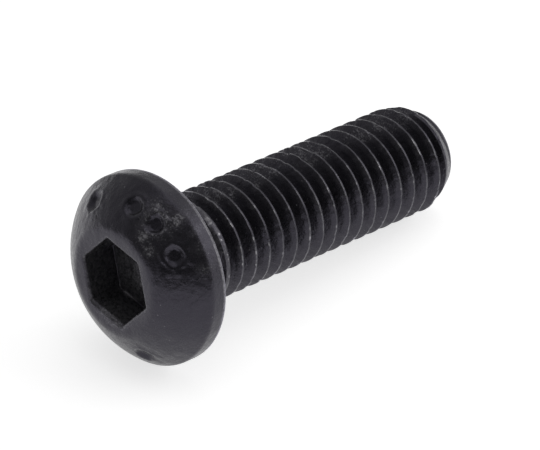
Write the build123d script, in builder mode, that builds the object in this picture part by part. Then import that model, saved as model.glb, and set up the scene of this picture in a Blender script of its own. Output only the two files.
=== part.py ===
from build123d import *
import math
import os

os.makedirs("parts", exist_ok=True)

# right-hand thread of the shank: a V groove between flat crests
thread_diameter = 6.0
thread_pitch = 1.0
thread_depth = 0.695
crest_width = 0.125
thread_start = 2.11
run_out_share = 0.75
groove_overcut = 0.12

# shank from the bearing face to the chamfered point
shank_length = 20.0
neck_flare = 0.25
point_length = 1.3
point_depth = 0.7

# domed head, its heights measured from the bearing face
head_diameter = 10.5
head_height = 3.1
rim_height = 1.05
rim_chamfer = 0.15
crown_land = 0.54
seam_turn = 17.5

# hexagon socket in the crown
socket_sides = 6
socket_width = 4.1
socket_depth = 2.1
socket_lip = 0.2
socket_turn = 40.0

# radii that follow from these sizes
head_radius = head_diameter / 2
thread_radius = thread_diameter / 2
point_radius = thread_radius - point_depth
socket_corner = socket_width / 2 / math.cos(math.pi / socket_sides)
crown_radius = socket_corner + crown_land

# the screw lies on the lower edge of its rim and on the last full thread crest
thread_end = shank_length - point_length
rest_tilt = math.atan2(head_radius - thread_radius, thread_end + rim_chamfer)
tilt_cos = math.cos(rest_tilt)
tilt_sin = math.sin(rest_tilt)
front_reach = shank_length * tilt_cos + point_radius * tilt_sin
back_reach = head_height * tilt_cos + crown_radius * tilt_sin
seat_x = (back_reach - front_reach) / 2
seat_z = thread_end * tilt_sin + thread_radius * tilt_cos

# seat is the middle of the bearing face, and the axis runs from there to the point
seat = Vector(seat_x, 0, seat_z)
screw_axis = Vector(tilt_cos, 0, -tilt_sin)
down = Vector(-tilt_sin, 0, -tilt_cos)
seat_plane = Plane(origin=seat, x_dir=down, z_dir=screw_axis)
crown_plane = seat_plane.offset(-head_height)
turning_axis = Axis(seat, screw_axis)

# the section is turned from a seam that stays off the line on which the screw lies
section_normal = seat_plane.y_dir.rotate(turning_axis, seam_turn)
profile_plane = Plane(origin=seat, x_dir=screw_axis, z_dir=section_normal)

# the dome is part of a ball that meets the rim and the flat crown
dome_climb = head_height - rim_height
dome_sum = crown_radius**2 + head_height**2 - head_radius**2 - rim_height**2
dome_center = dome_sum / (2 * dome_climb)
dome_radius = math.hypot(head_radius, rim_height - dome_center)
dome_mid_radius = (head_radius + crown_radius) / 2
dome_mid_height = dome_center + math.sqrt(dome_radius**2 - dome_mid_radius**2)

# the flanks of the groove are carried on a little past the crests
root_radius = thread_radius - thread_depth
groove_height = thread_depth + groove_overcut
flank_slope = (thread_pitch - crest_width) / 2 / thread_depth
groove_half_width = groove_height * flank_slope

# the groove starts beyond the point and rises out of the shank in its last turn
run_out_length = thread_pitch * run_out_share
run_out_rise = groove_height + groove_overcut
run_out_angle = math.atan2(run_out_rise, run_out_length)
run_out_pitch = thread_pitch / math.cos(run_out_angle)
full_turns = math.ceil((shank_length - thread_start) / thread_pitch) + 1

with BuildPart() as screw:
    # head and shank, turned as one
    with BuildSketch(profile_plane) as body_section:
        with BuildLine():
            Polyline((-rim_height, head_radius), (0, head_radius), (0, thread_radius))
            Polyline((0, thread_radius), (thread_end, thread_radius), (shank_length, point_radius))
            Polyline((shank_length, point_radius), (shank_length, 0), (-head_height, 0))
            Line((-head_height, 0), (-head_height, crown_radius))
            ThreePointArc(
                (-head_height, crown_radius),
                (-dome_mid_height, dome_mid_radius),
                (-rim_height, head_radius),
            )
        make_face()
        chamfer(body_section.vertices().sort_by_distance((0, thread_radius))[0], neck_flare)
        chamfer(body_section.vertices().sort_by_distance((0, head_radius))[0], rim_chamfer)
    revolve(axis=turning_axis)

    # hexagon socket with a flat floor and a broken edge at its mouth
    with BuildSketch(crown_plane):
        RegularPolygon(socket_corner, socket_sides, rotation=socket_turn)
    extrude(amount=socket_depth, mode=Mode.SUBTRACT)
    mouth_edges = screw.edges().group_by(turning_axis)[0].filter_by(GeomType.LINE)
    chamfer(mouth_edges, socket_lip)

    # path of the groove's root from the point to the head, one turn after another
    with BuildLine() as groove_path:
        for turn in range(full_turns, 0, -1):
            Helix(
                thread_pitch,
                thread_pitch,
                root_radius,
                center=seat + screw_axis * (thread_start + turn * thread_pitch),
                direction=-screw_axis,
            )
        Helix(
            run_out_pitch,
            run_out_length,
            root_radius,
            center=seat + screw_axis * thread_start,
            direction=-screw_axis,
            cone_angle=math.degrees(run_out_angle),
        )

    # V section across the start of the path, swept along it
    groove_start = groove_path.line @ 0
    start_depth = (groove_start - seat).dot(screw_axis)
    outward = groove_start - seat - screw_axis * start_depth
    groove_plane = Plane(origin=groove_start, x_dir=outward, z_dir=groove_path.line % 0)
    with BuildSketch(groove_plane):
        with BuildLine():
            Polyline(
                (0, 0),
                (groove_height, groove_half_width),
                (groove_height, -groove_half_width),
                close=True,
            )
        make_face()
    sweep(path=groove_path.line, is_frenet=True, mode=Mode.SUBTRACT)

screw.part.label = "screw"
export_step(screw.part, "parts/screw.step")
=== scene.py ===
import math

import bpy
import numpy as np
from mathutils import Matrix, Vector


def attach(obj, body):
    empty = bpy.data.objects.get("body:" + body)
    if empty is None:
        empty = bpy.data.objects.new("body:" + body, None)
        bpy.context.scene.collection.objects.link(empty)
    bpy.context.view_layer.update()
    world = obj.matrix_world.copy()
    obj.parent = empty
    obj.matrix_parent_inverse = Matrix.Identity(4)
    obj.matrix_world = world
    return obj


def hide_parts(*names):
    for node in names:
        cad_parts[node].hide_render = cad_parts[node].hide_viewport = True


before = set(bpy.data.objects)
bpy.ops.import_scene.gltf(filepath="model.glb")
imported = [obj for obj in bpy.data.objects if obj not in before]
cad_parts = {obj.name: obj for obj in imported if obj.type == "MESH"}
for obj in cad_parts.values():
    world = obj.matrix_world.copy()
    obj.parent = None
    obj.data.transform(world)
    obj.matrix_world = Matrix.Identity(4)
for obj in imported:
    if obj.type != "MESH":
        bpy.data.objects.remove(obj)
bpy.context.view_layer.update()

# sizes of the screw in millimetres, as in the solid, and a millimetre in metres
MM = 0.001
THREAD_RADIUS, PITCH, CREST_WIDTH = 3.0, 1.0, 0.125
SHANK, POINT, POINT_RADIUS = 20.0, 1.3, 2.3
HEAD_RADIUS, HEAD_HEIGHT, RIM_HEIGHT, RIM_CHAMFER = 5.25, 3.1, 1.05, 0.15
SOCKET, SOCKET_DEPTH, SOCKET_TURN, SOCKET_SIDES = 4.1, 2.1, 40.0, 6
CROWN_LAND = 0.54
CROWN_RADIUS = SOCKET / 2 / math.cos(math.pi / SOCKET_SIDES) + CROWN_LAND
THREAD_END = SHANK - POINT

# form of the thread: depth and root as shares of the pitch, place of the first crest, and run-out
DEPTH_SHARE, ROOT_SHARE = 0.6134, 0.1443
CORE_RADIUS = THREAD_RADIUS - DEPTH_SHARE * PITCH
ROOT_ROUND = ROOT_SHARE * PITCH
ROOT_START, ROOT_MIDDLE = 0.375, 0.5
FLANK_SLOPE = math.sqrt(3)
CREST_PHASE = 0.61
RUN_OUT, RUN_OUT_RISE = 0.75, 0.935

# the lying pose: the middle of the bearing face, and the ways along the axis, down and to the side
TILT = math.atan2(HEAD_RADIUS - THREAD_RADIUS, THREAD_END + RIM_CHAMFER)
COS, SIN = math.cos(TILT), math.sin(TILT)
SEAT = np.array([
    (HEAD_HEIGHT * COS + CROWN_RADIUS * SIN - SHANK * COS - POINT_RADIUS * SIN) / 2,
    0.0,
    THREAD_END * SIN + THREAD_RADIUS * COS,
])
AXIS = np.array([COS, 0.0, -SIN])
DOWN = np.array([-SIN, 0.0, -COS])
SIDE = np.array([0.0, 1.0, 0.0])

# numbers that scatter the noise
SCATTER_X, SCATTER_Y, SCATTER_Z = 374761393, 668265263, 1440662683
SCATTER_SEED, SCATTER_AGAIN = 974634777, 1274126177
WORD, HALF_WORD = 0xFFFFFFFF, 0xFFFF


def ease(share):
    return share * share * (3 - 2 * share)


def step(value, low, high):
    """Smooth rise from 0 at low to 1 at high."""
    return ease(np.clip((value - low) / (high - low), 0, 1))


def band(value, low, low_full, high_full, high):
    """Smooth rise from 0 to 1, and back to 0 further on."""
    return step(value, low, low_full) * (1 - step(value, high_full, high))


def bell(value, middle, reach):
    """Smooth hump that is 1 at its middle."""
    return np.exp(-(((value - middle) / reach) ** 2))


def lattice(x, y, z, seed):
    """Scattered number from 0 to 1 at each whole place."""
    mixed = (x * SCATTER_X + y * SCATTER_Y + z * SCATTER_Z + seed * SCATTER_SEED) & WORD
    mixed = ((mixed ^ (mixed >> 13)) * SCATTER_AGAIN) & WORD
    return ((mixed ^ (mixed >> 16)) & HALF_WORD) / HALF_WORD


def noise(spots, scale, seed):
    """Smooth noise from 0 to 1 for nicks and wear, the same in every run."""
    scaled_spots = spots * scale
    cell = np.floor(scaled_spots).astype(np.int64)
    t = ease(scaled_spots - cell)
    total = 0.0
    for x in (0, 1):
        for y in (0, 1):
            for z in (0, 1):
                weight = np.abs(1 - x - t[..., 0]) * np.abs(1 - y - t[..., 1]) * np.abs(1 - z - t[..., 2])
                corner = lattice(cell[..., 0] + x, cell[..., 1] + y, cell[..., 2] + z, seed)
                total = total + weight * corner
    return total


def place(axial, radius, angle):
    """Points from the axial place, the radius and the angle from straight down."""
    down = (radius * np.cos(angle))[..., None]
    side = (radius * np.sin(angle))[..., None]
    return SEAT + axial[..., None] * AXIS + down * DOWN + side * SIDE


# every row of the mesh has a point at each of these angles
COLUMNS = 288
FULL_TURN = 2 * math.pi
turn = np.arange(COLUMNS) * (FULL_TURN / COLUMNS)


def turned(degrees, middle):
    """Degrees from a middle, from -180 to 180."""
    return (degrees - middle + 180) % 360 - 180


def around(middle, reach):
    """Smooth hump about an angle in degrees, at each column."""
    return bell(turned(np.degrees(turn), middle), 0, reach)


# how sharp the socket's six corners are
CORNER_SHARPNESS = 70
SIDE_ANGLE = 360 / SOCKET_SIDES


def hexagon(apothem):
    """Radius of a hexagon with slightly soft corners, at each column."""
    total = 0.0
    for i in range(SOCKET_SIDES):
        middle = math.radians(SOCKET_TURN + SIDE_ANGLE / 2 + SIDE_ANGLE * i)
        total = total + np.clip(np.cos(turn - middle), 0, 1) ** CORNER_SHARPNESS
    return apothem / total ** (1 / CORNER_SHARPNESS)


# roundings of the head's edges
CROWN_ROUND, RIM_ROUND, EDGE_ROUND, NECK_ROUND, FLOOR_ROUND = 0.9, 0.4, 0.3, 0.25, 0.06
LIP_ROUND, LIP_WORN, LIP_GAP = 0.2, 0.09, 0.03

# rows over the head: radii, axial places, degrees round an edge, and counts
FLOOR_ROWS = (0.35, 0.7, 1.05, 1.4, 1.7, 1.9)
FOOT_ROWS = (0, 30, 60, 90)
LIP_ROWS = (15, 30, 45, 60, 75, 90)
RIM_ROWS = (-0.75, -0.5, -0.36)
FACE_ROWS = (4.6, 4.1, 3.6)
WALL_COUNT, ROUND_COUNT, DOME_COUNT, EDGE_COUNT, NECK_COUNT = 8, 7, 41, 6, 5

# wear and scuffs over the head, partly painted light: 0 is none, and HIGH, LOW and CORNER add to one side of
# the socket
# painted light among these: the floor's high side is a painted pool of light, the foot's corner a painted
# highlight line, and the lip's high side and the bearing edge are wear with a painted highlight
FLOOR_WEAR, FLOOR_PAINTED_LIGHT_HIGH, FLOOR_SCUFF = 0.9, 0.3, 0.1
FOOT_WEAR, FOOT_PAINTED_HIGHLIGHT_CORNER, WALL_WEAR = 0.25, 1.8, 0.55
LIP_WEAR, LIP_WEAR_AND_HIGHLIGHT_HIGH, LIP_SCUFF, LIP_SCUFF_LOW = 0.4, 1.1, 0.3, 0.5
CROWN_SCUFF, CROWN_SCUFF_LOW = 0.2, 0.4
RIM_WEAR, EDGE_WEAR_AND_HIGHLIGHT, EDGE_SCUFF, NECK_SCUFF = 0.05, 1.3, 0.2, 0.3

rows = []


def add_row(axial, radius, wear_and_painted_light=0.0, scuff=0.0):
    """Adds a row of the head, each value a number or one for each column."""
    values = (axial, radius, wear_and_painted_light, scuff)
    rows.append([np.broadcast_to(np.asarray(value, float), COLUMNS) for value in values])


# dome as part of a ball, rounded into the crown and the rim
drop = (CROWN_RADIUS**2 + HEAD_HEIGHT**2 - HEAD_RADIUS**2 - RIM_HEIGHT**2) / (2 * (HEAD_HEIGHT - RIM_HEIGHT))
ball = math.hypot(HEAD_RADIUS, RIM_HEIGHT - drop)
crown_rise = HEAD_HEIGHT - CROWN_ROUND - drop
crown_middle = math.sqrt((ball - CROWN_ROUND) ** 2 - crown_rise**2)
crown_tilt = math.atan2(crown_middle, crown_rise)
rim_middle = HEAD_RADIUS - RIM_ROUND
rim_level = drop + math.sqrt((ball - RIM_ROUND) ** 2 - rim_middle**2)
rim_tilt = math.atan2(rim_middle, rim_level - drop)

# socket: flat floor, six walls, and a rolled lip that is worn widest on its lowest side
floor_axial = SOCKET_DEPTH - HEAD_HEIGHT
low_side = around(middle=10, reach=32)
high_side = around(middle=205, reach=45)
corner_side = around(middle=28, reach=14)
lip = LIP_ROUND + LIP_WORN * low_side
for apothem in FLOOR_ROWS:
    # painted light: the floor is lighter towards the walls on its high side
    floor_wear_and_painted_light = FLOOR_WEAR + FLOOR_PAINTED_LIGHT_HIGH * high_side * apothem
    add_row(floor_axial, hexagon(apothem), floor_wear_and_painted_light, FLOOR_SCUFF)
for degrees in FOOT_ROWS:
    angle = math.radians(degrees)
    foot = hexagon(SOCKET / 2 - FLOOR_ROUND * (1 - math.sin(angle)))
    foot_axial = floor_axial - FLOOR_ROUND * (1 - math.cos(angle))
    # a painted highlight line along the foot at one corner
    add_row(foot_axial, foot, FOOT_WEAR + FOOT_PAINTED_HIGHLIGHT_CORNER * corner_side)
for t in np.linspace(0, 1, WALL_COUNT)[1:]:
    wall_axial = (floor_axial - FLOOR_ROUND) * (1 - t) + (lip - HEAD_HEIGHT) * t
    add_row(wall_axial, hexagon(SOCKET / 2), WALL_WEAR)
for degrees in LIP_ROWS:
    angle = math.radians(degrees)
    mouth = np.minimum(hexagon(SOCKET / 2 + lip * (1 - math.cos(angle))), crown_middle - LIP_GAP)
    # the lip's edge is worn, with a painted highlight added along its high side
    lip_wear_and_painted_highlight = (LIP_WEAR + LIP_WEAR_AND_HIGHLIGHT_HIGH * high_side) * math.sin(2 * angle) ** 2
    lip_axial = lip - HEAD_HEIGHT - lip * math.sin(angle)
    add_row(lip_axial, mouth, lip_wear_and_painted_highlight, LIP_SCUFF + LIP_SCUFF_LOW * low_side)
halfway = mouth * 0.5 + crown_middle * 0.5
add_row(-HEAD_HEIGHT, halfway, 0.0, CROWN_SCUFF + CROWN_SCUFF_LOW * low_side)

# crown, dome, rim, bearing face and neck
for t in np.linspace(0, 1, ROUND_COUNT):
    angle = crown_tilt * t
    crown_axial = CROWN_ROUND - HEAD_HEIGHT - CROWN_ROUND * math.cos(angle)
    add_row(crown_axial, crown_middle + CROWN_ROUND * math.sin(angle))
for t in np.linspace(0, 1, DOME_COUNT)[1:]:
    angle = crown_tilt + (rim_tilt - crown_tilt) * t
    add_row(-drop - ball * math.cos(angle), ball * math.sin(angle))
for t in np.linspace(0, 1, ROUND_COUNT)[1:]:
    angle = rim_tilt + (math.pi / 2 - rim_tilt) * t
    add_row(-rim_level - RIM_ROUND * math.cos(angle), rim_middle + RIM_ROUND * math.sin(angle), RIM_WEAR)
for axial in RIM_ROWS:
    add_row(axial, HEAD_RADIUS, RIM_WEAR)
# the bearing face's edge is worn, with a painted highlight along it
for t in np.linspace(0, 1, EDGE_COUNT):
    angle = math.pi / 2 * t
    edge = HEAD_RADIUS - EDGE_ROUND * (1 - math.cos(angle))
    add_row(-EDGE_ROUND + EDGE_ROUND * math.sin(angle), edge, EDGE_WEAR_AND_HIGHLIGHT * math.cos(angle) ** 0.5, EDGE_SCUFF)
for radius in FACE_ROWS:
    add_row(0.0, radius)
for t in np.linspace(0, 1, NECK_COUNT):
    angle = math.pi / 2 * t
    neck_radius = THREAD_RADIUS + NECK_ROUND * (1 - math.sin(angle))
    add_row(NECK_ROUND - NECK_ROUND * math.cos(angle), neck_radius, 0.0, NECK_SCUFF)
add_row(axial=0.45, radius=THREAD_RADIUS, wear_and_painted_light=0.1, scuff=0.5)
add_row(axial=CREST_PHASE, radius=THREAD_RADIUS, wear_and_painted_light=0.2, scuff=0.6)

head_axial, head_radius, head_wear_and_painted_light, head_scuff = np.array(rows).transpose(1, 0, 2)
head_turn = np.broadcast_to(turn, head_axial.shape)
head_degrees = np.degrees(head_turn)
head_at = place(head_axial, head_radius, head_turn)

# plain round dents in the dome at these angles, each with a low burr and ruffled ground around it
DENTS = (140.0, 181.0, 203.0, 229.0, 336.0)
DENT_PLACE, DENT_FLAT, DENT_RADIUS, DENT_DEPTH = 4.26, 0.30, 0.58, 0.2
BURR_PLACE, BURR_REACH, BURR_HEIGHT = 0.68, 0.09, 0.025
RUFFLE_PLACE, RUFFLE_REACH, RUFFLE_DEPTH = 0.75, 0.35, 0.07
RAGGED_LEAST, RAGGED_RANGE = 0.9, 0.2

# scuffs on the dome as angle, radius, reach and strength, and how far from a dent they start
SCUFFS = (
    (205.0, 3.6, 0.5, 1.0), (216.0, 3.4, 0.4, 0.85), (210.0, 4.95, 0.5, 0.9), (194.0, 4.75, 0.45, 0.85),
    (203.0, 4.3, 0.95, 0.9), (243.0, 5.05, 0.4, 0.5), (231.0, 5.15, 0.45, 0.4), (221.0, 5.2, 0.4, 0.5),
    (162.0, 4.95, 0.35, 0.4), (140.0, 4.4, 0.8, 0.5), (122.0, 5.1, 0.6, 0.7), (100.0, 4.5, 0.8, 0.5),
    (60.0, 4.8, 0.9, 0.5), (20.0, 4.9, 0.9, 0.6), (345.0, 4.0, 1.2, 0.45), (300.0, 4.9, 0.7, 0.3),
)
SCUFF_START, SCUFF_FULL = 0.40, 0.62

# the dome's part of the head, its steepest slope that counts, and a distance for places with no dent near
DOME_START_RADIUS, DOME_END_AXIAL, STEEPEST = 2.75, -0.3, 0.75
FAR = 9.0
on_dome = (head_axial < DOME_END_AXIAL) & (head_radius > DOME_START_RADIUS)


def dome_away(degrees, radius):
    """Distance over the dome from a place on it."""
    across = np.radians(turned(head_degrees, degrees)) * radius
    return np.hypot(across, (head_radius - radius) / math.cos(math.asin(min(radius / ball, STEEPEST))))


ragged = RAGGED_LEAST + RAGGED_RANGE * noise(head_at, scale=4.0, seed=11)
head_mark = np.full_like(head_axial, FAR)
for degrees in DENTS:
    away = dome_away(degrees, DENT_PLACE) * ragged
    head_mark = np.where(on_dome, np.minimum(head_mark, away), head_mark)
clear_of_dents = step(head_mark, SCUFF_START, SCUFF_FULL)
for degrees, radius, reach, strength in SCUFFS:
    rub = strength * bell(dome_away(degrees, radius), 0, reach) * clear_of_dents
    head_scuff = np.where(on_dome, np.maximum(head_scuff, rub), head_scuff)
sunk = DENT_DEPTH * (1 - step(head_mark, DENT_FLAT, DENT_RADIUS))
sunk = sunk - BURR_HEIGHT * bell(head_mark, BURR_PLACE, BURR_REACH)
ruffle = noise(head_at, scale=3.0, seed=17) - 0.5
sunk = sunk + RUFFLE_DEPTH * ruffle * bell(head_mark, RUFFLE_PLACE, RUFFLE_REACH)
head_axial = head_axial + sunk * np.where(on_dome, np.sqrt(np.clip(1 - (head_radius / ball) ** 2, 0, 1)), 0)
head_radius = head_radius - sunk * np.where(on_dome, head_radius / ball, 0)

# thread, in rows that follow the helix from crest to crest at these shares of the pitch
PROFILE = (0.05, 0.0775, 0.375, 0.4307, 0.5, 0.5693, 0.625, 0.775, 0.9225, 0.95, 1.0)
PER_TURN = len(PROFILE)
END_GAP, SPARE_LAPS = 0.15, 2
TINY = 1e-9
end = SHANK - END_GAP
laps = math.ceil(end - CREST_PHASE) + SPARE_LAPS


def turns_along(axial, angle):
    """Turns of the helix from its first crest."""
    return (axial - CREST_PHASE - angle / FULL_TURN) / PITCH


def thread_form(axial, angle):
    """Radius of a rolled 60 degree thread with flat crests and rounded roots that runs out at the head."""
    whole = turns_along(axial, angle)
    share = whole - np.floor(whole)
    away = np.minimum(share, 1 - share)
    flank = THREAD_RADIUS - (away - CREST_WIDTH / 2) * FLANK_SLOPE
    hollow = np.sqrt(np.clip(ROOT_ROUND**2 - (ROOT_MIDDLE - away) ** 2, 0, None))
    root = CORE_RADIUS + ROOT_ROUND - hollow
    radius = np.where(away < ROOT_START, np.minimum(flank, THREAD_RADIUS), root)
    first = np.floor(whole + TINY) == 0
    rise = np.where(first, (1 - angle / FULL_TURN) / RUN_OUT * RUN_OUT_RISE, 0)
    return np.where(whole < 0, THREAD_RADIUS, np.minimum(radius + rise, THREAD_RADIUS))


def cone_form(axial):
    """Radius of the shank and its chamfered point."""
    return THREAD_RADIUS - np.clip(axial - THREAD_END, 0, None) * (THREAD_RADIUS - POINT_RADIUS) / POINT


turn_share = turn / FULL_TURN
thread_axial = []
for lap in range(laps):
    for share in PROFILE:
        climb = share * turn_share if lap == 0 else lap - 1 + share + turn_share
        thread_axial.append(CREST_PHASE + climb)
thread_axial = np.array(thread_axial)
thread_turn = np.broadcast_to(turn, thread_axial.shape)
thread_degrees = np.degrees(thread_turn)
past = thread_axial >= end
thread_axial = np.minimum(thread_axial, end)
thread_radius = np.minimum(thread_form(thread_axial, thread_turn), cone_form(thread_axial))
thread_at = place(thread_axial, thread_radius, thread_turn)
whole = turns_along(thread_axial, thread_turn)
crest_away = np.abs(whole - np.round(whole))

# worn crests: wear across a crest, less of it on the plain land by the head, and the point's first edge
CREST_PLACES = (0, 0.05, 0.0775, 0.9, 0.9225, 0.95, 1)
CREST_WEAR = (0.5, 0.1, 0, 0, 0.2, 1, 0.5)
LAND_END, LAND_WEAR = 0.06, 0.04
POINT_REACH, POINT_CREST = 0.12, 0.1
land = whole < LAND_END
crest_wear = np.interp(whole - np.floor(whole + TINY), CREST_PLACES, CREST_WEAR)
crest_wear = np.where(land, LAND_WEAR, crest_wear)
point_wear = bell(thread_axial, THREAD_END, POINT_REACH) * (crest_away < POINT_CREST)
thread_wear_and_painted_light = np.maximum(crest_wear, point_wear)

# nicks in the crests, and a strip on the upper side where flanks and crests are rubbed
NICK_DEPTH, NICK_STRIP_DEPTH, NICK_CREST = 0.03, 0.04, 0.16
THREAD_SCUFF, STRIP_SCUFF, SCUFF_CREST = 0.1, 0.55, 0.4
strip = band(thread_degrees, 146, 160, 184, 204)
nick = step(noise(thread_at, scale=2.6, seed=5), 0.55, 0.85) * (NICK_DEPTH + NICK_STRIP_DEPTH * strip)
nick = nick * (crest_away < NICK_CREST)
strip_rub = STRIP_SCUFF * strip * step(noise(thread_at, scale=0.8, seed=8), 0.25, 0.6)
thread_scuff = (THREAD_SCUFF + strip_rub) * (crest_away < SCUFF_CREST)

# the wear comes in patches and spots, the strongest spots painted glints, and there is less of it along the
# upper side
PATCH_LEAST, PATCH_WEAR, SPOT_WEAR_AND_GLINT, UPPER_LOSS = 0.25, 0.8, 1.6, 0.8
upper = band(thread_degrees, 105, 140, 200, 230) * step(thread_axial, 3.0, 7.0)
patches = PATCH_LEAST + PATCH_WEAR * step(noise(thread_at, scale=0.9, seed=9), 0.3, 0.75)
spots = SPOT_WEAR_AND_GLINT * step(noise(thread_at, scale=4.0, seed=4), 0.62, 0.88)
thread_wear_and_painted_light = thread_wear_and_painted_light * (1 - UPPER_LOSS * upper) * (patches + spots)

# the land is uneven and scuffed, and the run-out beside it has painted glints along the side turned to the
# camera
LAND_START, LAND_DEPTH, LAND_STRETCH = 0.62, 0.03, (2.0, 2.0, 0.8)
LAND_SCUFF, LAND_SCUFF_RANGE = 0.3, 0.6
RUN_OUT_END, RUN_OUT_RADIUS = 0.95, 2.7
PAINTED_GLINT_LEAST, PAINTED_GLINT_RANGE = 0.25, 1.4
uneven = LAND_DEPTH * noise(thread_at * LAND_STRETCH, scale=2.0, seed=21)
thread_radius = thread_radius - nick - np.where(land & (thread_axial > LAND_START), uneven, 0)
land_rub = LAND_SCUFF + LAND_SCUFF_RANGE * noise(thread_at, scale=1.6, seed=15)
thread_scuff = np.where(land, land_rub, thread_scuff)
run_out = (whole < RUN_OUT_END) & (thread_radius > RUN_OUT_RADIUS)
painted_glints = PAINTED_GLINT_LEAST + PAINTED_GLINT_RANGE * step(noise(thread_at, scale=5.5, seed=23), 0.5, 0.8)
painted_glints = band(thread_degrees, 185, 210, 235, 262) * painted_glints
thread_wear_and_painted_light = np.where(run_out, thread_wear_and_painted_light + painted_glints, thread_wear_and_painted_light)

# slightly hollow end of the point, as distance back from the end and radius
CAP = ((0.06, 2.333), (0.02, 2.3), (0.0, 2.24), (0.0, 2.1), (0.03, 1.6), (0.05, 1.1), (0.06, 0.6))
CAP_EDGE, CAP_EDGE_WEAR, CAP_WEAR, CAP_SCUFF = 2.2, 0.5, 0.1, 0.1
END_HOLLOW = 0.06
cap_rows = []
for back, radius in CAP:
    cap_wear = CAP_EDGE_WEAR if radius > CAP_EDGE else CAP_WEAR
    cap_rows.append([np.full(COLUMNS, value) for value in (SHANK - back, radius, cap_wear, CAP_SCUFF, FAR)])

# one mesh: head rows, thread rows and the end, each point with its wear and painted light, scuffs and
# distance from a dent
LAYERS = ("wear_and_painted_light", "scuff", "mark")
points = []
paint = []


def point_count():
    return sum(len(part) for part in points)


def add_rows(axial, radius, *layers):
    """Adds rows of points and their layers, and gives the number of the first point."""
    start = point_count()
    points.append(place(axial, radius, np.broadcast_to(turn, axial.shape)).reshape(-1, 3))
    paint.append(np.stack([layer.reshape(-1) for layer in layers], axis=-1))
    return start


head_start = add_rows(head_axial, head_radius, head_wear_and_painted_light, head_scuff, head_mark)
thread_mark = np.full_like(thread_axial, FAR)
thread_start = add_rows(thread_axial, thread_radius, thread_wear_and_painted_light, thread_scuff, thread_mark)
cap_start = add_rows(*np.array(cap_rows).transpose(1, 0, 2))
floor_middle = point_count()
end_middle = floor_middle + 1
points.append(np.array([SEAT + AXIS * floor_axial, SEAT + AXIS * (SHANK - END_HOLLOW)]))
paint.append(np.array([[FLOOR_WEAR, FLOOR_SCUFF, FAR], [CAP_WEAR, CAP_SCUFF, FAR]]))

# the first thread row is the neck's last, and a column's rows past the end fall together
neck = head_start + (len(rows) - 1) * COLUMNS
thread_id = thread_start + np.arange(thread_axial.size).reshape(thread_axial.shape)
thread_id[:PER_TURN, 0] = neck
first_past = np.argmax(past, axis=0)
for j in range(COLUMNS):
    thread_id[first_past[j]:, j] = thread_id[first_past[j], j]
thread_id = np.vstack([neck + np.arange(COLUMNS)[None], thread_id])

faces = []


def quads(row, row_before):
    """Adds outward faces between two rows, each with its first column again at the end."""
    for j in range(COLUMNS):
        ring = (row_before[j], row_before[j + 1], row[j + 1], row[j])
        face = [corner for i, corner in enumerate(ring) if corner != ring[i - 1]]
        if len(set(face)) > 2:
            faces.append(face)


def closed(start):
    """Numbers of a row's points, with the first again at the end."""
    numbers = list(range(start, start + COLUMNS))
    return numbers + numbers[:1]


def helix_row(k):
    """Numbers of a thread row's points, which goes on one turn later."""
    return list(thread_id[k]) + [thread_id[k + PER_TURN, 0]]


floor_ring = closed(head_start)
for j in range(COLUMNS):
    faces.append([floor_middle, floor_ring[j + 1], floor_ring[j]])
for i in range(len(rows) - 1):
    quads(closed(head_start + (i + 1) * COLUMNS), closed(head_start + i * COLUMNS))
for k in range(len(thread_id) - 1 - PER_TURN):
    quads(helix_row(k + 1), helix_row(k))
last_row = list(thread_id[-1])
quads(closed(cap_start), last_row + last_row[:1])
for i in range(len(cap_rows) - 1):
    quads(closed(cap_start + (i + 1) * COLUMNS), closed(cap_start + i * COLUMNS))
end_ring = closed(cap_start + (len(cap_rows) - 1) * COLUMNS)
for j in range(COLUMNS):
    faces.append([end_middle, end_ring[j], end_ring[j + 1]])

# only points that a face uses go into the mesh
SHARP_ANGLE = 27
points = np.concatenate(points) * MM
paint = np.concatenate(paint).astype(np.float32)
used = np.zeros(len(points), bool)
for face in faces:
    used[face] = True
number = np.cumsum(used) - 1
faces = [[int(number[corner]) for corner in face] for face in faces]
mesh = bpy.data.meshes.new("screw_body")
mesh.from_pydata(points[used].tolist(), [], faces)
for i, layer in enumerate(LAYERS):
    values = np.ascontiguousarray(paint[used, i])
    mesh.attributes.new(layer, "FLOAT", "POINT").data.foreach_set("value", values)
mesh.shade_smooth()
mesh.set_sharp_from_angle(angle=math.radians(SHARP_ANGLE))
mesh.update()
screw = bpy.data.objects.new("screw_body", mesh)
bpy.context.scene.collection.objects.link(screw)
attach(screw, "root")
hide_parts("screw")

# sockets of a colour mix node
MIX_FIRST, MIX_SECOND, MIX_RESULT = 6, 7, 2


def material(name):
    """A new material with an empty tree, and that tree's nodes and links."""
    made = bpy.data.materials.new(name)
    made.use_nodes = True
    made.node_tree.nodes.clear()
    return made, made.node_tree.nodes, made.node_tree.links


def put(kind, sockets=None, **settings):
    """A new node in the tree at hand, with its settings and the constants on its sockets."""
    node = nodes.new(kind)
    for key, value in settings.items():
        setattr(node, key, value)
    for key, value in (sockets or {}).items():
        node.inputs[key].default_value = value
    return node


def noise_from(vector, scale, detail, rough=0.5):
    """Noise at a node's vector."""
    node = put("ShaderNodeTexNoise", {"Scale": scale, "Detail": detail, "Roughness": rough})
    links.new(vector, node.inputs["Vector"])
    return node.outputs[0]


def ramp(source, low, high, start=0.0, stop=1.0):
    """Smooth change from start to stop while the source goes from low to high."""
    limits = {"From Min": low, "From Max": high, "To Min": start, "To Max": stop}
    node = put("ShaderNodeMapRange", limits, interpolation_type="SMOOTHSTEP")
    links.new(source, node.inputs["Value"])
    return node.outputs["Result"]


def combine(operation, *values):
    """Result of a math node on two values, each a number or an output."""
    node = put("ShaderNodeMath", operation=operation)
    for i, value in enumerate(values):
        if isinstance(value, (int, float)):
            node.inputs[i].default_value = value
        else:
            links.new(value, node.inputs[i])
    return node.outputs[0]


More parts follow.
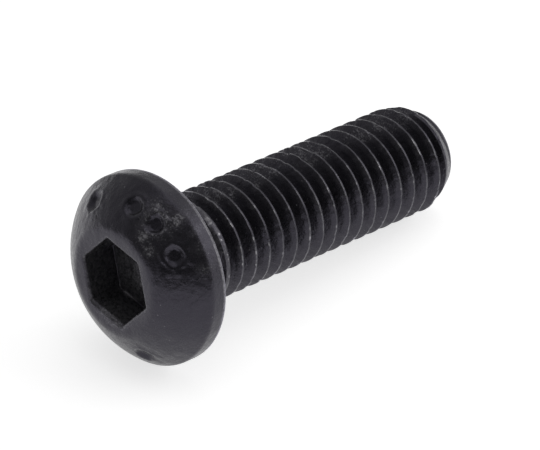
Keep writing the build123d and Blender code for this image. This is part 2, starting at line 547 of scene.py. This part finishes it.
def mix(factor, first, second):
    """Colour between two others, each three numbers or an output."""
    node = put("ShaderNodeMix", data_type="RGBA")
    links.new(factor, node.inputs[0])
    for i, value in ((MIX_FIRST, first), (MIX_SECOND, second)):
        if isinstance(value, tuple):
            node.inputs[i].default_value = (*value, 1)
        else:
            links.new(value, node.inputs[i])
    return node.outputs[MIX_RESULT]


# black oxide steel: its colours, from the darkest layer to the brightest, the darkest a painted shade in the
# dents and the brightest a painted glint
PAINTED_DENT_SHADE = (0.0025, 0.0024, 0.0027)
OXIDE_DARK = (0.0066, 0.0064, 0.0072)
OXIDE_PALE = (0.0096, 0.0094, 0.0105)
OXIDE_GRAIN = (0.0165, 0.0161, 0.0177)
BARE = (0.21, 0.207, 0.216)
FLECK = (0.28, 0.275, 0.29)
PAINTED_GLINT = (0.48, 0.47, 0.49)
BARE_MOST, BARE_METAL, RUB_HAZE = 0.9, 0.75, 0.14

steel, nodes, links = material("black_oxide_steel")
out = put("ShaderNodeOutputMaterial")
shader = put("ShaderNodeBsdfPrincipled", {"IOR": 1.56, "Specular Tint": (0.84, 0.79, 1.0, 1)})
links.new(shader.outputs[0], out.inputs[0])

# noises in millimetres over the object, and one that is drawn out into scratches
coordinates = put("ShaderNodeTexCoord")
even = put("ShaderNodeMapping", {"Scale": (1000, 1000, 1000)})
drawn = put("ShaderNodeMapping", {"Rotation": (0.5, 0.3, 0.9), "Scale": (9000, 1800, 9000)})
for mapping in (even, drawn):
    links.new(coordinates.outputs["Object"], mapping.inputs["Vector"])
cloud = noise_from(even.outputs[0], scale=0.35, detail=4)
patch = noise_from(even.outputs[0], scale=1.1, detail=5, rough=0.6)
grain = noise_from(even.outputs[0], scale=5.5, detail=6, rough=0.65)
fleck = noise_from(even.outputs[0], scale=10.0, detail=4, rough=0.65)
scratch = noise_from(drawn.outputs[0], scale=1.0, detail=2)
specks = put("ShaderNodeTexVoronoi", {"Scale": 1.3})
links.new(even.outputs[0], specks.inputs["Vector"])
# the wear layer holds both real wear and painted light
wear_and_painted_light, scuff, mark = (put("ShaderNodeAttribute", attribute_name=layer).outputs["Fac"] for layer in LAYERS)

# clouded oxide with grain, and painted shade in the dents
oxide = mix(ramp(cloud, 0.35, 0.65), OXIDE_DARK, OXIDE_PALE)
oxide = mix(ramp(grain, 0.55, 0.8), oxide, OXIDE_GRAIN)
painted_dent_shade = combine("MULTIPLY", ramp(mark, 0.30, 0.60, 0.55, 0.0), ramp(patch, 0.3, 0.6, 0.6, 1.0))
oxide = mix(painted_dent_shade, oxide, PAINTED_DENT_SHADE)

# bare steel on worn edges, carrying the wear layer's painted light too, flecks and scratches in the scuffs,
# specks, and painted glints where that layer is strongest
bare_and_painted_light = combine("MULTIPLY", wear_and_painted_light, ramp(patch, 0.30, 0.55, 0.35, 1.0))
bare_and_painted_light = combine("MULTIPLY", bare_and_painted_light, ramp(grain, 0.38, 0.62, 0.3, 1.0))
bare_and_painted_light = combine("MINIMUM", bare_and_painted_light, BARE_MOST)
rubbed = combine("MULTIPLY", scuff, ramp(patch, 0.35, 0.62, 0.6, 1.0))
scratched = combine("MULTIPLY", rubbed, ramp(scratch, 0.40, 0.60, 0.24, 0.48))
flecks = ramp(combine("ADD", fleck, scratched), 0.64, 0.96, 0.0, 0.8)
flecks = combine("ADD", flecks, combine("MULTIPLY", rubbed, RUB_HAZE))
flecks = combine("MAXIMUM", flecks, ramp(specks.outputs["Distance"], 0.03, 0.07, 0.6, 0.0))
painted_glint = combine("MULTIPLY", ramp(wear_and_painted_light, 1.15, 2.0, 0.0, 0.9), ramp(grain, 0.35, 0.6, 0.4, 1.0))
colour = mix(bare_and_painted_light, oxide, BARE)
colour = mix(flecks, colour, FLECK)
colour = mix(painted_glint, colour, PAINTED_GLINT)
links.new(colour, shader.inputs["Base Color"])
links.new(combine("MULTIPLY", bare_and_painted_light, BARE_METAL), shader.inputs["Metallic"])
links.new(ramp(grain, 0.3, 0.7, 0.24, 0.36), shader.inputs["Roughness"])

# a slightly uneven surface with a fine grain
waves = put("ShaderNodeBump", {"Strength": 1.0, "Distance": 0.00008})
links.new(patch, waves.inputs["Height"])
bump = put("ShaderNodeBump", {"Strength": 0.35, "Distance": 0.00002})
links.new(grain, bump.inputs["Height"])
links.new(waves.outputs[0], bump.inputs["Normal"])
links.new(bump.outputs[0], shader.inputs["Normal"])
screw.data.materials.append(steel)

# pale floor that keeps the shadow
FLOOR_COLOUR = (0.8, 0.8, 0.8, 1)
FLOOR_GLOW, FLOOR_REACH = 0.69, 2
ground, nodes, links = material("pale_floor")
out = put("ShaderNodeOutputMaterial")
paper = put("ShaderNodeBsdfDiffuse", {"Color": FLOOR_COLOUR})
glow = put("ShaderNodeEmission")
path = put("ShaderNodeLightPath")
both = put("ShaderNodeAddShader")
seen = combine("MAXIMUM", path.outputs["Is Camera Ray"], path.outputs["Is Glossy Ray"])
seen = combine("MAXIMUM", seen, path.outputs["Is Transmission Ray"])
links.new(combine("MULTIPLY", seen, FLOOR_GLOW), glow.inputs["Strength"])
links.new(paper.outputs[0], both.inputs[0])
links.new(glow.outputs[0], both.inputs[1])
links.new(both.outputs[0], out.inputs[0])
corners = [(x * FLOOR_REACH, y * FLOOR_REACH, 0) for x, y in ((-1, -1), (1, -1), (1, 1), (-1, 1))]
sheet = bpy.data.meshes.new("floor")
sheet.from_pydata(corners, [], [(0, 1, 2, 3)])
floor = bpy.data.objects.new("floor", sheet)
bpy.context.scene.collection.objects.link(floor)
sheet.materials.append(ground)

# world: a plain room that is dimmer behind the camera
BEHIND = (-0.72, -0.58, 0.38)
ROOM_LIGHT, ROOM_DIM, DIM_START, DIM_FULL = 0.48, 0.14, 0.0, 0.95
world = bpy.data.worlds.new("studio")
bpy.context.scene.world = world
world.use_nodes = True
nodes, links = world.node_tree.nodes, world.node_tree.links
nodes.clear()
out = put("ShaderNodeOutputWorld")
room = put("ShaderNodeBackground")
direction = put("ShaderNodeTexCoord")
behind = put("ShaderNodeVectorMath", {1: BEHIND}, operation="DOT_PRODUCT")
links.new(direction.outputs["Generated"], behind.inputs[0])
links.new(ramp(behind.outputs["Value"], DIM_START, DIM_FULL, ROOM_LIGHT, ROOM_DIM), room.inputs["Strength"])
links.new(room.outputs[0], out.inputs[0])


def turned_to(way):
    """Rotation of a lamp or camera that looks along a way."""
    return way.to_track_quat("-Z", "Y").to_euler()


def lamp(name, stand, aim, width, power):
    """A square softbox that looks at a place."""
    light = bpy.data.lights.new(name, "AREA")
    light.shape = "RECTANGLE"
    light.size = width
    light.size_y = width
    light.energy = power
    softbox = bpy.data.objects.new(name, light)
    softbox.location = stand
    softbox.rotation_euler = turned_to(Vector(aim) - Vector(stand))
    bpy.context.scene.collection.objects.link(softbox)


lamp("far_softbox", stand=(0.50, 0.10, 0.42), aim=(0, 0, 0), width=0.80, power=0.53)
lamp("right_softbox", stand=(0.36, -0.30, 0.26), aim=(0, 0, 0.004), width=0.40, power=0.64)
lamp("top_softbox", stand=(0.0, 0.0, 0.60), aim=(0, 0, 0), width=0.50, power=0.45)

# camera, at the place and with the lens that were fitted to the photograph
CAMERA_PLACE = (-0.152624, -0.153159, 0.153436)
CAMERA_WAY = (0.580008, 0.582317, -0.569647)
scene = bpy.context.scene
scene.view_settings.view_transform = "Standard"
view = bpy.data.cameras.new("camera")
view.lens = 330.3
view.sensor_width = 36.0
view.sensor_fit = "HORIZONTAL"
view.clip_start = 0.01
view.clip_end = 20.0
camera = bpy.data.objects.new("camera", view)
camera.location = CAMERA_PLACE
camera.rotation_euler = turned_to(Vector(CAMERA_WAY))
scene.collection.objects.link(camera)
scene.camera = camera
